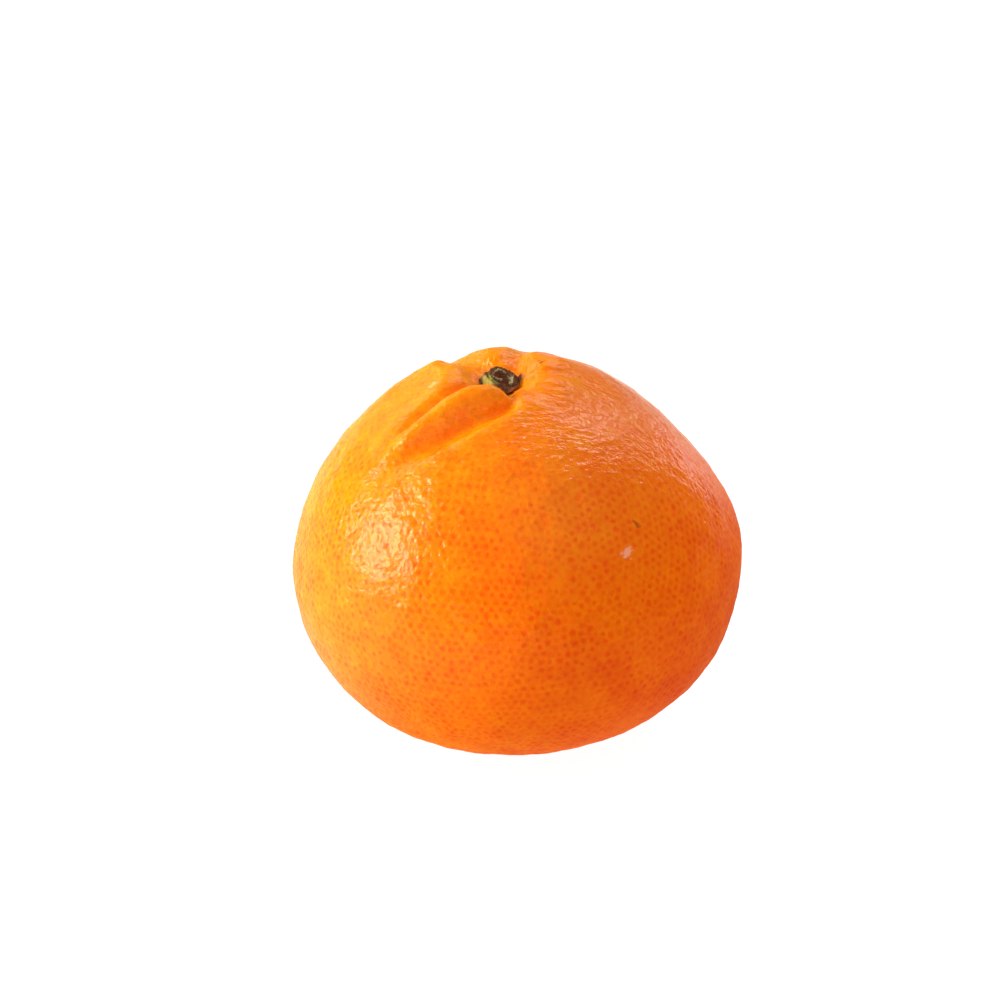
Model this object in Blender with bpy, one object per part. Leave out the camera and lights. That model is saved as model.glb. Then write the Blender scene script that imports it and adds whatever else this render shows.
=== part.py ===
"""A clementine: one whole fruit with its calyx and the broken stub of its stem.

Metres, +Z up. The origin is the middle of the small flat spot that the fruit rests on, and -Y is its
front. The fruit is a lathed body whose peel is folded where it gathers round the stem. The body is drawn
round its own axis, from the stem at the top to the blossom end, and is then leant over and set down on the
flat spot.
"""

import math
from dataclasses import dataclass

import bmesh
import bpy
from mathutils import Matrix, Vector

# Driving sizes of the fruit.
EQUATOR_RADIUS = 0.0310
STEM_HEIGHT = 0.0278
BLOSSOM_DEPTH = 0.0250
STEM_TAPER = 1.25
BLOSSOM_FULLNESS = 0.83
LEAN_LEFT = math.radians(4.8)
LEAN_FORWARD = math.radians(4.0)
FLAT_SPOT_DEPTH = 0.0006

# The puffed collar of peel round the stem, and the basin in it that holds the calyx.
COLLAR_HEIGHT = 0.0006
COLLAR_RADIUS = 0.0075
COLLAR_WIDTH = 0.0035
BASIN_DEPTH = 0.0030
BASIN_RADIUS = 0.0042

# The dimple at the blossom end.
NAVEL_DEPTH = 0.0008
NAVEL_RADIUS = 0.0030

# The stub of the stem, an oval peg broken off at a slant with a shallow cup in its top, and the calyx, a
# collar with small sepals round it. The cup's floor, the crest and the foot ring are shares of the radius.
CLEARANCE = 0.0003
STUB_LONG_RADIUS = 0.0021
STUB_SHORT_RADIUS = 0.0018
STUB_TURN = math.radians(-40)
STUB_MIDDLE = (0.0006, -0.0003)
STUB_HEIGHT = 0.0021
STUB_SLANT = 0.42
STUB_LOW_SIDE = math.radians(-55)
STUB_WALL = 0.0006
STUB_CUP_DEPTH = 0.0008
STUB_CUP_FLOOR = 0.35
STUB_CREST = 0.82
STUB_EDGE_DROP = 0.0002
STUB_FOOT_RING = 0.6
CALYX_WIDTH = 0.0004
CALYX_HEIGHT = 0.0011
CALYX_BIAS = 0.75
SEPAL_LENGTH = 0.0005
SEPAL_COUNT = 5
SEPAL_TURN = math.radians(20)
SEPAL_POINT = 3

# The calyx's section, from its inner top edge round its outside, in shares of its width and its height.
CALYX_SECTION = ((0.0, 1.0), (0.3, 1.0), (0.7, 0.6), (1.0, 0.3), (1.0, 0.0), (0.5, 0.0), (0.0, 0.0))

# Finishes: (colour, roughness).
PEEL_FINISH = ((0.88, 0.25, 0.02), 0.42)
CALYX_FINISH = ((0.26, 0.27, 0.07), 0.75)
STUB_FINISH = ((0.12, 0.08, 0.05), 0.9)

# Mesh detail. The step is the angle over which the smooth body's slope is taken.
SLOPE_STEP = 0.01
CROWN_POLAR = math.radians(41)
CROWN_RINGS = 37
FLANK_RINGS = 26
BODY_SIDES = 90
CALYX_SIDES = 60
STUB_SIDES = 36


@dataclass(frozen=True)
class Fold:
    """A roll of the peel, or a furrow where the height is negative, as it is seen down the fruit's axis.

    It runs from start to finish on a line that bows to its left by the bow, and the peel turns a little the
    other way along both its sides.
    """

    start: tuple[float, float]
    finish: tuple[float, float]
    bow: float
    height: float
    half_width: float


FOLDS = (
    # The thick roll that comes round the stem from the left, the furrow above it and the deep one below it.
    Fold((0.0016, -0.0054), (-0.0230, -0.0106), 0.0010, 0.0015, 0.0018),
    Fold((-0.0022, -0.0016), (-0.0210, -0.0092), 0.0016, -0.0021, 0.0011),
    Fold((0.0034, -0.0078), (-0.0215, -0.0113), 0.0020, -0.0023, 0.0012),
    # The fine line in front of the stem that closes the end of the roll, and the hollow it lies in.
    Fold((0.0008, -0.0024), (0.0019, -0.0104), 0.0002, -0.0009, 0.0006),
    Fold((0.0006, -0.0006), (0.0040, -0.0100), 0.0000, -0.0010, 0.0024),
    # The lobes to the left of the stem, behind it and to its right, and the notches that part them.
    Fold((-0.0040, 0.0012), (-0.0150, 0.0004), 0.0, 0.0008, 0.0026),
    Fold((-0.0065, 0.0050), (-0.0210, 0.0070), 0.0, 0.0013, 0.0030),
    Fold((-0.0018, 0.0026), (-0.0095, 0.0125), 0.0, -0.0017, 0.0015),
    Fold((-0.0005, 0.0040), (-0.0010, 0.0160), 0.0, 0.0001, 0.0040),
    Fold((0.0020, 0.0010), (0.0052, 0.0150), 0.0003, -0.0010, 0.0011),
    Fold((0.0044, 0.0012), (0.0150, 0.0054), 0.0, 0.0006, 0.0022),
    Fold((0.0034, -0.0010), (0.0160, -0.0004), 0.0, -0.0006, 0.0012),
    Fold((0.0036, -0.0034), (0.0150, -0.0046), 0.0, 0.0004, 0.0016),
)
FOLD_RISE = 0.12
FOLD_FADE = 0.35
FOLD_SPREAD = 0.8
SIDE_SHARE = 0.35
SIDE_SPREAD = 2.2

# Waves round the axis that keep the body from being quite round: count, share of the radius and phase in
# degrees.
ROUND_WAVES = ((2, 0.0207, 96), (3, 0.0025, 56), (9, 0.0012, 20))


@dataclass(frozen=True)
class Swell:
    """A broad swelling of the body, or a hollow where the height is negative.

    Azimuth and polar angle, from the stem, are in degrees, and so is the angle that it reaches over.
    """

    azimuth: float
    polar: float
    reach: float
    height: float


SWELLS = (
    Swell(20, 54, 16, -0.00045),
    Swell(3, 82, 18, 0.00030),
    Swell(352, 106, 14, -0.00025),
    Swell(316, 146, 16, 0.00045),
    Swell(196, 120, 16, -0.00030),
    Swell(250, 85, 24, 0.00020),
    Swell(290, 70, 20, -0.00015),
    Swell(100, 75, 22, 0.00030),
    Swell(60, 110, 20, -0.00030),
    Swell(150, 60, 18, 0.00025),
)


def smooth_step(low, high, value):
    """0 below low, 1 above high, and a smooth rise between."""
    share = min(max((value - low) / (high - low), 0.0), 1.0)
    return share * share * (3.0 - 2.0 * share)


def bump(distance, width):
    """A smooth bump that is 1 at distance 0."""
    return math.exp(-((distance / width) ** 2))


def fold_height(fold, point):
    """How far a fold raises the peel at a point."""
    start = Vector(fold.start)
    chord = Vector(fold.finish) - start
    out = point.xy - start
    along = out.dot(chord) / chord.length_squared
    if not 0.0 < along < 1.0:
        return 0.0
    aside = (chord.x * out.y - chord.y * out.x) / chord.length - 4.0 * fold.bow * along * (1.0 - along)
    across = aside / (fold.half_width * (1.0 + FOLD_SPREAD * along))
    section = bump(across, 1.0) - SIDE_SHARE * bump(across, SIDE_SPREAD)
    ends = smooth_step(0.0, FOLD_RISE, along) * (1.0 - smooth_step(FOLD_FADE, 1.0, along))
    return fold.height * section * ends


def direction(polar, azimuth):
    """The unit vector at a polar angle from the stem and an azimuth."""
    flat = math.sin(polar)
    return Vector((flat * math.cos(azimuth), flat * math.sin(azimuth), math.cos(polar)))


def swell_height(polar, azimuth):
    """How far the broad swellings raise the body at a point."""
    here = direction(polar, azimuth)
    raised = 0.0
    for swell in SWELLS:
        middle = direction(math.radians(swell.polar), math.radians(swell.azimuth))
        raised += swell.height * bump(here.angle(middle), math.radians(swell.reach))
    return raised


def plain_body_point(polar, azimuth):
    """A point of the smooth body, with no folds, in the fruit's own frame."""
    waves = sum(
        share * math.cos(count * azimuth + math.radians(phase)) for count, share, phase in ROUND_WAVES
    )
    distance = EQUATOR_RADIUS * math.sin(polar) * (1.0 + waves * math.sin(polar) ** 2)
    rise = math.cos(polar)
    if rise >= 0.0:
        height = STEM_HEIGHT * rise**STEM_TAPER
        height += COLLAR_HEIGHT * bump(distance - COLLAR_RADIUS, COLLAR_WIDTH)
        height -= BASIN_DEPTH * bump(distance, BASIN_RADIUS)
    else:
        height = -BLOSSOM_DEPTH * (-rise) ** BLOSSOM_FULLNESS
        height += NAVEL_DEPTH * bump(distance, NAVEL_RADIUS)
    round_point = Vector((distance * math.cos(azimuth), distance * math.sin(azimuth), height))
    return round_point + direction(polar, azimuth) * swell_height(polar, azimuth)


def body_point(polar, azimuth):
    """A point of the folded body, in the fruit's own frame."""
    point = plain_body_point(polar, azimuth)
    if polar > math.pi / 2:
        return point
    across = plain_body_point(polar, azimuth + SLOPE_STEP) - plain_body_point(polar, azimuth - SLOPE_STEP)
    above = max(polar - SLOPE_STEP, 0.0)
    down = plain_body_point(polar + SLOPE_STEP, azimuth) - plain_body_point(above, azimuth)
    outward = down.cross(across)
    if outward.length == 0.0:
        return point
    raised = sum(fold_height(fold, point) for fold in FOLDS)
    return point + outward.normalized() * raised


def ring_polars():
    """The polar angles of the body's rings, which crowd together on the folded crown."""
    crown = [CROWN_POLAR * i / CROWN_RINGS for i in range(CROWN_RINGS)]
    rest = math.pi - CROWN_POLAR
    return crown + [CROWN_POLAR + rest * i / FLANK_RINGS for i in range(FLANK_RINGS + 1)]


def skin(name, rings, material, hollow=False):
    """A closed smooth mesh over rings of points, each of which goes round counter-clockwise.

    The rings run from the top of the piece down its outside. Each end ring closes to its middle point, or,
    in a hollow piece, the last ring joins the first.
    """
    mesh = bmesh.new()
    rows = [[mesh.verts.new(point) for point in ring] for ring in (rings if hollow else rings[1:-1])]
    sides = len(rows[0])
    pairs = list(zip(rows, rows[1:]))
    if hollow:
        pairs.append((rows[-1], rows[0]))
    for upper, lower in pairs:
        for i in range(sides):
            j = (i + 1) % sides
            mesh.faces.new((upper[i], lower[i], lower[j], upper[j]))
    if not hollow:
        start, end = mesh.verts.new(rings[0][0]), mesh.verts.new(rings[-1][0])
        for i in range(sides):
            j = (i + 1) % sides
            mesh.faces.new((start, rows[0][i], rows[0][j]))
            mesh.faces.new((end, rows[-1][j], rows[-1][i]))
    data = bpy.data.meshes.new(name)
    mesh.to_mesh(data)
    mesh.free()
    data.shade_smooth()
    data.materials.append(material)
    piece = bpy.data.objects.new(name, data)
    bpy.context.scene.collection.objects.link(piece)
    return piece


def make_material(name, finish):
    """A plain non-metal material."""
    colour, roughness = finish
    material = bpy.data.materials.new(name)
    material.use_nodes = True
    shader = material.node_tree.nodes["Principled BSDF"]
    shader.inputs["Base Color"].default_value = (*colour, 1.0)
    shader.inputs["Roughness"].default_value = roughness
    shader.inputs["Metallic"].default_value = 0.0
    return material


def azimuths(sides):
    """The azimuths of a ring's points."""
    return [2.0 * math.pi * i / sides for i in range(sides)]


def leaning():
    """The turn that leans the fruit's axis over from upright."""
    return Matrix.Rotation(LEAN_FORWARD, 3, "X") @ Matrix.Rotation(-LEAN_LEFT, 3, "Y")


def body_rings():
    """The body's rings of points, leant over but not yet set down."""
    turn = leaning()
    return [
        [turn @ body_point(polar, azimuth) for azimuth in azimuths(BODY_SIDES)]
        for polar in ring_polars()
    ]


def set_down(rings):
    """The shift that sets the body on the ground with the middle of its flat spot at the origin."""
    points = [point for ring in rings for point in ring]
    ground = min(point.z for point in points) + FLAT_SPOT_DEPTH
    spot = [point for point in points if point.z <= ground]
    middle_x = (min(p.x for p in spot) + max(p.x for p in spot)) / 2
    middle_y = (min(p.y for p in spot) + max(p.y for p in spot)) / 2
    return Vector((-middle_x, -middle_y, -ground))


def make_fruit(shift, rings, material):
    """The whole fruit, flat where it rests."""
    placed = [[point + shift for point in ring] for ring in rings]
    for ring in placed:
        for point in ring:
            point.z = max(point.z, 0.0)
    return skin("fruit", placed, material)


def seat_height(x, y):
    """The height of the basin at a point near the stem, in the fruit's own frame."""
    polar = math.asin(min(math.hypot(x, y) / EQUATOR_RADIUS, 1.0))
    return body_point(polar, math.atan2(y, x)).z


def from_stub(distance, azimuth):
    """The place of a point at a distance and azimuth from the middle of the stub, as seen down the axis."""
    x, y = STUB_MIDDLE
    return x + distance * math.cos(azimuth), y + distance * math.sin(azimuth)


def stub_radius(azimuth):
    """The radius of the oval stub."""
    turned = azimuth - STUB_TURN
    across = math.hypot(STUB_SHORT_RADIUS * math.cos(turned), STUB_LONG_RADIUS * math.sin(turned))
    return STUB_LONG_RADIUS * STUB_SHORT_RADIUS / across


def slant(azimuth):
    """How much higher the broken edge is at an azimuth than at its middle."""
    return -STUB_SLANT * stub_radius(azimuth) * math.cos(azimuth - STUB_LOW_SIDE)


def make_stub(place, material):
    """The stub of the stem, with a shallow cup in its broken top and a foot just clear of the basin."""
    floor = seat_height(*STUB_MIDDLE)
    broken_top = (
        (0.0, STUB_HEIGHT - STUB_CUP_DEPTH),
        (STUB_CUP_FLOOR, STUB_HEIGHT - STUB_CUP_DEPTH),
        (1.0 - STUB_WALL / STUB_SHORT_RADIUS, STUB_HEIGHT - STUB_EDGE_DROP),
        (STUB_CREST, STUB_HEIGHT),
        (1.0, STUB_HEIGHT - STUB_EDGE_DROP),
    )
    rings = []
    for share, height in broken_top:
        ring = []
        for azimuth in azimuths(STUB_SIDES):
            x, y = from_stub(share * stub_radius(azimuth), azimuth)
            ring.append(place @ Vector((x, y, floor + height + share * slant(azimuth))))
        rings.append(ring)
    for share in (1.0, STUB_FOOT_RING, 0.0):
        ring = []
        for azimuth in azimuths(STUB_SIDES):
            x, y = from_stub(share * stub_radius(azimuth), azimuth)
            ring.append(place @ Vector((x, y, seat_height(x, y) + CLEARANCE)))
        rings.append(ring)
    return skin("stem_stub", rings, material)


def make_calyx(place, material):
    """The collar round the stub, which follows the basin just clear of it and is fullest on the left."""
    rings = []
    for out, up in CALYX_SECTION:
        ring = []
        for azimuth in azimuths(CALYX_SIDES):
            fullness = 1.0 - CALYX_BIAS * math.cos(azimuth)
            sepal = abs(math.cos(SEPAL_COUNT * (azimuth - SEPAL_TURN) / 2.0)) ** SEPAL_POINT
            width = CALYX_WIDTH * fullness + SEPAL_LENGTH * sepal
            x, y = from_stub(stub_radius(azimuth) + CLEARANCE + out * width, azimuth)
            height = seat_height(x, y) + CLEARANCE + up * CALYX_HEIGHT * fullness
            ring.append(place @ Vector((x, y, height)))
        rings.append(ring)
    return skin("calyx", rings, material, hollow=True)


def main():
    """Clears the scene and builds the clementine."""
    for leftover in list(bpy.data.objects):
        bpy.data.objects.remove(leftover)
    rings = body_rings()
    shift = set_down(rings)
    place = Matrix.Translation(shift) @ leaning().to_4x4()
    make_fruit(shift, rings, make_material("peel", PEEL_FINISH))
    make_calyx(place, make_material("calyx_green", CALYX_FINISH))
    make_stub(place, make_material("stub_wood", STUB_FINISH))


main()
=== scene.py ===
"""A clementine on a pale studio floor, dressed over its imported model.

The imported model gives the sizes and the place. Everything shown is made here: the peel with its folds and oil
glands, the calyx and the torn stub of the stem, the floor, the lights and the camera. Lengths are in metres.
"""

from __future__ import annotations

import logging
import math
from dataclasses import dataclass
from enum import Enum
from functools import reduce

import bmesh
import bpy
import numpy as np
from mathutils import Matrix, Vector, noise


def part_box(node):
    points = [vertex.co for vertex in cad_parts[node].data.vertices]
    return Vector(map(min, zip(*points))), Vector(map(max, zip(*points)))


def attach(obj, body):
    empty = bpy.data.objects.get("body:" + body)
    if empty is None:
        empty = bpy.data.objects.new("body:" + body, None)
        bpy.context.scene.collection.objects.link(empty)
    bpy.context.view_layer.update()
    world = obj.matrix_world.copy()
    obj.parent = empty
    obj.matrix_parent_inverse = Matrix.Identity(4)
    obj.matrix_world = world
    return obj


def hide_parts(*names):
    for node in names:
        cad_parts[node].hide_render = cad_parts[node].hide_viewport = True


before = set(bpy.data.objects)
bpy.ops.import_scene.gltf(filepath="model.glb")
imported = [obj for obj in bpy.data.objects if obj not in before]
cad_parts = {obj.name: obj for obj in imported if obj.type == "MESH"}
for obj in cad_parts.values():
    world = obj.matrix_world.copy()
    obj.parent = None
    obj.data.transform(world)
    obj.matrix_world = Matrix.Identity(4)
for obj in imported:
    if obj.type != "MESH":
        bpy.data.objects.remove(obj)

LOG = logging.getLogger("clementine")
MM = 0.001
SMALLEST_LENGTH = 1e-20
# The step in radians over which the body's slope is measured.
SLOPE_STEP = 0.01
# The net of directions over which the form's box is measured.
BOX_ROWS = 181
BOX_COLUMNS = 360

Colour = tuple[float, float, float]
Inputs = dict[str | int, object]


class Node(str, Enum):
    """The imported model's nodes that the pieces stand for."""

    FRUIT = "fruit"
    CALYX = "calyx"
    STUB = "stem_stub"


class Slot(str, Enum):
    """The record's material slots."""

    PEEL = "peel"
    CALYX = "calyx_green"
    STUB = "stub_wood"


# Small maths


def smooth_step(low: float, high: float, value: np.ndarray) -> np.ndarray:
    """A smooth rise from 0 at low to 1 at high.

    Args:
        low: Where the rise starts.
        high: Where it ends.
        value: The values to look up.

    Returns:
        The rise at each value.
    """
    share = np.clip((value - low) / (high - low), 0.0, 1.0)
    return share * share * (3.0 - 2.0 * share)


def bump(distance: np.ndarray, width: float | np.ndarray) -> np.ndarray:
    """A smooth bump.

    Args:
        distance: How far each value is from the middle.
        width: The distance at which the bump has sunk to about a third.

    Returns:
        The bump's height, 1 in the middle.
    """
    return np.exp(-((distance / width) ** 2))


# The fruit's form


@dataclass(frozen=True)
class Fold:
    """A roll of the peel, or a furrow where the height is negative, as it is seen down the fruit's axis.

    It runs from start to finish on a line that bows to its left, and widens as it goes.
    """

    start: tuple[float, float]
    finish: tuple[float, float]
    bow: float
    height: float
    half_width: float

    def rise(self, points: np.ndarray, form: "FruitForm") -> np.ndarray:
        """How far the fold raises the peel.

        Args:
            points: Points of the smooth body, one a row, in the fruit's own frame.
            form: The form that the fold belongs to.

        Returns:
            The rise at each point.
        """
        start = np.array(self.start)
        chord = np.array(self.finish) - start
        out = points[:, :2] - start
        along = (out @ chord) / (chord @ chord)
        aside = (chord[0] * out[:, 1] - chord[1] * out[:, 0]) / math.hypot(*chord)
        aside = aside - 4.0 * self.bow * along * (1.0 - along)
        across = aside / (self.half_width * (1.0 + form.fold_spread * along))
        section = bump(across, 1.0) - form.side_share * bump(across, form.side_spread)
        ends = smooth_step(0.0, form.fold_rise, along) * (1.0 - smooth_step(form.fold_fade, 1.0, along))
        return np.where((along > 0.0) & (along < 1.0), self.height * section * ends, 0.0)


@dataclass(frozen=True)
class Swell:
    """A broad swelling of the body, or a hollow where the height is negative.

    Azimuth and polar angle, from the stem, are in degrees, and so is the angle that it reaches over.
    """

    azimuth: float
    polar: float
    reach: float
    height: float


MAIN_FOLDS = (
    Fold((0.0016, -0.0054), (-0.0230, -0.0106), 0.0010, 0.0015, 0.0018),
    Fold((-0.0022, -0.0016), (-0.0210, -0.0092), 0.0016, -0.0021, 0.0011),
    Fold((0.0034, -0.0078), (-0.0215, -0.0113), 0.0020, -0.0023, 0.0012),
    Fold((0.0008, -0.0024), (0.0019, -0.0104), 0.0002, -0.0009, 0.0006),
    Fold((0.0006, -0.0006), (0.0040, -0.0100), 0.0000, -0.0010, 0.0024),
    Fold((-0.0040, 0.0012), (-0.0150, 0.0004), 0.0, 0.0008, 0.0026),
    Fold((-0.0065, 0.0050), (-0.0210, 0.0070), 0.0, 0.0013, 0.0030),
    Fold((-0.0018, 0.0026), (-0.0095, 0.0125), 0.0, -0.0017, 0.0015),
    Fold((-0.0005, 0.0040), (-0.0010, 0.0160), 0.0, 0.0001, 0.0040),
    Fold((0.0020, 0.0010), (0.0052, 0.0150), 0.0003, -0.0010, 0.0011),
    Fold((0.0044, 0.0012), (0.0150, 0.0054), 0.0, 0.0006, 0.0022),
    Fold((0.0034, -0.0010), (0.0160, -0.0004), 0.0, -0.0006, 0.0012),
    Fold((0.0036, -0.0034), (0.0150, -0.0046), 0.0, 0.0004, 0.0016),
)

BROAD_SWELLS = (
    Swell(20, 54, 16, -0.00045),
    Swell(3, 82, 18, 0.00030),
    Swell(352, 106, 14, -0.00025),
    Swell(316, 146, 16, 0.00045),
    Swell(196, 120, 16, -0.00030),
    Swell(250, 85, 24, 0.00020),
    Swell(290, 70, 20, -0.00015),
    Swell(100, 75, 22, 0.00030),
    Swell(60, 110, 20, -0.00030),
    Swell(150, 60, 18, 0.00025),
)


@dataclass(frozen=True)
class FruitForm:
    """The form of the whole fruit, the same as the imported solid's but as fine as is asked."""

    equator_radius: float = 0.0310
    stem_height: float = 0.0278
    blossom_depth: float = 0.0250
    stem_taper: float = 1.25
    blossom_fullness: float = 0.83
    lean_left: float = math.radians(4.8)
    lean_forward: float = math.radians(4.0)
    collar_height: float = 0.0006
    collar_radius: float = 0.0075
    collar_width: float = 0.0035
    basin_depth: float = 0.0030
    basin_radius: float = 0.0042
    navel_depth: float = 0.0008
    navel_radius: float = 0.0030
    fold_rise: float = 0.12
    fold_fade: float = 0.35
    fold_spread: float = 0.8
    side_share: float = 0.35
    side_spread: float = 2.2
    folds: tuple[Fold, ...] = MAIN_FOLDS
    swells: tuple[Swell, ...] = BROAD_SWELLS
    round_waves: tuple[tuple[float, float, float], ...] = ((2, 0.0207, 96), (3, 0.0025, 56), (9, 0.0012, 20))

    def turn(self) -> np.ndarray:
        """The turn that leans the fruit's axis over, as a 3 by 3 array."""
        lean = Matrix.Rotation(self.lean_forward, 3, "X") @ Matrix.Rotation(-self.lean_left, 3, "Y")
        return np.array(lean)

    def smooth_body(self, polar: np.ndarray, azimuth: np.ndarray) -> np.ndarray:
        """Points of the body with no folds.

        Args:
            polar: Angles from the stem.
            azimuth: Angles round the axis.

        Returns:
            One point a row, in the fruit's own frame.
        """
        flat = np.sin(polar)
        waves = sum(
            share * np.cos(count * azimuth + math.radians(phase)) for count, share, phase in self.round_waves
        )
        distance = self.equator_radius * flat * (1.0 + waves * flat**2)
        rise = np.cos(polar)
        upper = self.stem_height * np.clip(rise, 0.0, 1.0) ** self.stem_taper
        upper += self.collar_height * bump(distance - self.collar_radius, self.collar_width)
        upper -= self.basin_depth * bump(distance, self.basin_radius)
        lower = -self.blossom_depth * np.clip(-rise, 0.0, 1.0) ** self.blossom_fullness
        lower += self.navel_depth * bump(distance, self.navel_radius)
        height = np.where(rise >= 0.0, upper, lower)
        out = np.stack([flat * np.cos(azimuth), flat * np.sin(azimuth), rise], axis=1)
        raised = np.zeros(len(polar))
        for swell in self.swells:
            a, p = math.radians(swell.azimuth), math.radians(swell.polar)
            middle = np.array([math.sin(p) * math.cos(a), math.sin(p) * math.sin(a), math.cos(p)])
            angle = np.arccos(np.clip(out @ middle, -1.0, 1.0))
            raised += swell.height * bump(angle, math.radians(swell.reach))
        body = np.stack([distance * np.cos(azimuth), distance * np.sin(azimuth), height], axis=1)
        return body + out * raised[:, None]

    def outward(self, polar: np.ndarray, azimuth: np.ndarray) -> np.ndarray:
        """The smooth body's outward normals.

        Args:
            polar: Angles from the stem.
            azimuth: Angles round the axis.

        Returns:
            One unit vector a row, which points up at the stem itself.
        """
        above = np.maximum(polar - SLOPE_STEP, 0.0)
        across = self.smooth_body(polar, azimuth + SLOPE_STEP) - self.smooth_body(polar, azimuth - SLOPE_STEP)
        down = self.smooth_body(polar + SLOPE_STEP, azimuth) - self.smooth_body(above, azimuth)
        normals = np.cross(down, across)
        length = np.linalg.norm(normals, axis=1, keepdims=True)
        return np.where(length > 0.0, normals / np.maximum(length, SMALLEST_LENGTH), (0.0, 0.0, 1.0))

    def points(self, directions: np.ndarray) -> np.ndarray:
        """Points of the folded body in the fruit's own frame.

        Args:
            directions: Unit vectors, one a row, that give each point's polar angle and azimuth.

        Returns:
            One point a row.
        """
        polar = np.arccos(np.clip(directions[:, 2], -1.0, 1.0))
        azimuth = np.arctan2(directions[:, 1], directions[:, 0])
        body = self.smooth_body(polar, azimuth)
        raised = sum(fold.rise(body, self) for fold in self.folds)
        raised = np.where(polar <= math.pi / 2, raised, 0.0)
        return body + self.outward(polar, azimuth) * raised[:, None]

    def seat(self, x: np.ndarray, y: np.ndarray) -> np.ndarray:
        """The height of the basin under points near the stem.

        Args:
            x: The points' places across, in the fruit's own frame.
            y: Their places in depth.

        Returns:
            The peel's height under each.
        """
        flat = np.minimum(np.hypot(x, y) / self.equator_radius, 1.0)
        azimuth = np.arctan2(y, x)
        rise = np.sqrt(1.0 - flat**2)
        return self.points(np.stack([flat * np.cos(azimuth), flat * np.sin(azimuth), rise], axis=1))[:, 2]


@dataclass(frozen=True)
class Placement:
    """Where the fruit's own frame lies in the row's frame."""

    turn: np.ndarray
    shift: np.ndarray

    def place(self, points: np.ndarray) -> np.ndarray:
        """Points of the fruit's own frame, moved to the row's frame."""
        return points @ self.turn.T + self.shift

    @classmethod
    def over_cad(cls, form: FruitForm) -> "Placement":
        """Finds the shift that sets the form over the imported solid.

        Args:
            form: The fruit's form.

        Returns:
            The placement.
        """
        polar, azimuth = np.meshgrid(
            np.linspace(0.0, math.pi, BOX_ROWS), np.linspace(0.0, 2.0 * math.pi, BOX_COLUMNS, endpoint=False)
        )
        polar, azimuth = polar.ravel(), azimuth.ravel()
        flat = np.sin(polar)
        sphere = np.stack([flat * np.cos(azimuth), flat * np.sin(azimuth), np.cos(polar)], axis=1)
        turned = form.points(sphere) @ form.turn().T
        low, high = (np.array(corner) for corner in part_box(Node.FRUIT.value))
        shift = (low + high) / 2.0 - (turned.min(axis=0) + turned.max(axis=0)) / 2.0
        shift[2] = high[2] - turned[:, 2].max()
        return cls(form.turn(), shift)


# Helpers for meshes and node trees


def read_vectors(data: bpy.types.bpy_prop_collection, name: str) -> np.ndarray:
    """Reads vectors from a mesh's vertices or from an attribute.

    Args:
        data: The vertices or the attribute's data.
        name: The property that holds the vector.

    Returns:
        One vector a row.
    """
    found = np.empty(len(data) * 3, np.float32)
    data.foreach_get(name, found)
    return found.reshape(-1, 3).astype(float)


def move_vertices(mesh: bpy.types.Mesh, points: np.ndarray) -> None:
    """Moves a mesh's vertices to the points, one a row."""
    mesh.vertices.foreach_set("co", points.astype(np.float32).ravel())
    mesh.update()


def new_group(name: str, inputs: dict[str, str]) -> bpy.types.NodeTree:
    """Starts a Geometry Nodes tree that takes and gives a shape.

    Args:
        name: The tree's name.
        inputs: The kinds of its other inputs by name.

    Returns:
        The tree.
    """
    group = bpy.data.node_groups.new(name, "GeometryNodeTree")
    group.interface.new_socket("Geometry", in_out="OUTPUT", socket_type="NodeSocketGeometry")
    for label, kind in {"Geometry": "Geometry", **inputs}.items():
        group.interface.new_socket(label, in_out="INPUT", socket_type=f"NodeSocket{kind}")
    return group


def new_piece(name: str, mesh: bpy.types.Mesh) -> bpy.types.Object:
    """Links an object that holds a mesh.

    Args:
        name: The piece's name.
        mesh: Its mesh, already in place.

    Returns:
        The linked object.
    """
    piece = bpy.data.objects.new(name, mesh)
    bpy.context.scene.collection.objects.link(piece)
    return piece


def set_modifier_inputs(modifier: bpy.types.NodesModifier, values: dict[str, object]) -> None:
    """Sets a Geometry Nodes modifier's inputs.

    Args:
        modifier: The modifier, whose tree is already set.
        values: The values by input name.
    """
    for item in modifier.node_group.interface.items_tree:
        if item.item_type == "SOCKET" and item.in_out == "INPUT" and item.name in values:
            modifier[item.identifier] = values[item.name]


def baked(piece: bpy.types.Object) -> bpy.types.Object:
    """Turns a piece's evaluated modifiers into a plain mesh of the same name.

    Args:
        piece: The piece with its live modifiers.

    Returns:
        The same object, with a plain mesh and no modifier.
    """
    bpy.context.view_layer.update()
    graph = bpy.context.evaluated_depsgraph_get()
    evaluated = piece.evaluated_get(graph)
    plain = bpy.data.meshes.new_from_object(evaluated, preserve_all_data_layers=True, depsgraph=graph)
    piece.modifiers.clear()
    old = piece.data
    piece.data = plain
    plain.name = piece.name
    bpy.data.meshes.remove(old)
    return piece


def live_socket(sockets: bpy.types.bpy_prop_collection, name: str) -> bpy.types.NodeSocket:
    """The socket of a name that the node's settings leave in use."""
    return next(socket for socket in sockets if socket.enabled and socket.name == name)


@dataclass(frozen=True)
class Ramp:
    """A smooth change from start to end while a value goes from low to high."""

    low: float
    high: float
    start: float = 0.0
    end: float = 1.0

    def at(self, value: np.ndarray) -> np.ndarray:
        """The change at each value."""
        return self.start + (self.end - self.start) * smooth_step(self.low, self.high, value)


@dataclass(frozen=True)
class Clouds:
    """Noise between 0 and 1 for a material, at a scale in features a metre."""

    scale: float | bpy.types.NodeSocket
    detail: float = 2.0
    rough: float = 0.5


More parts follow.
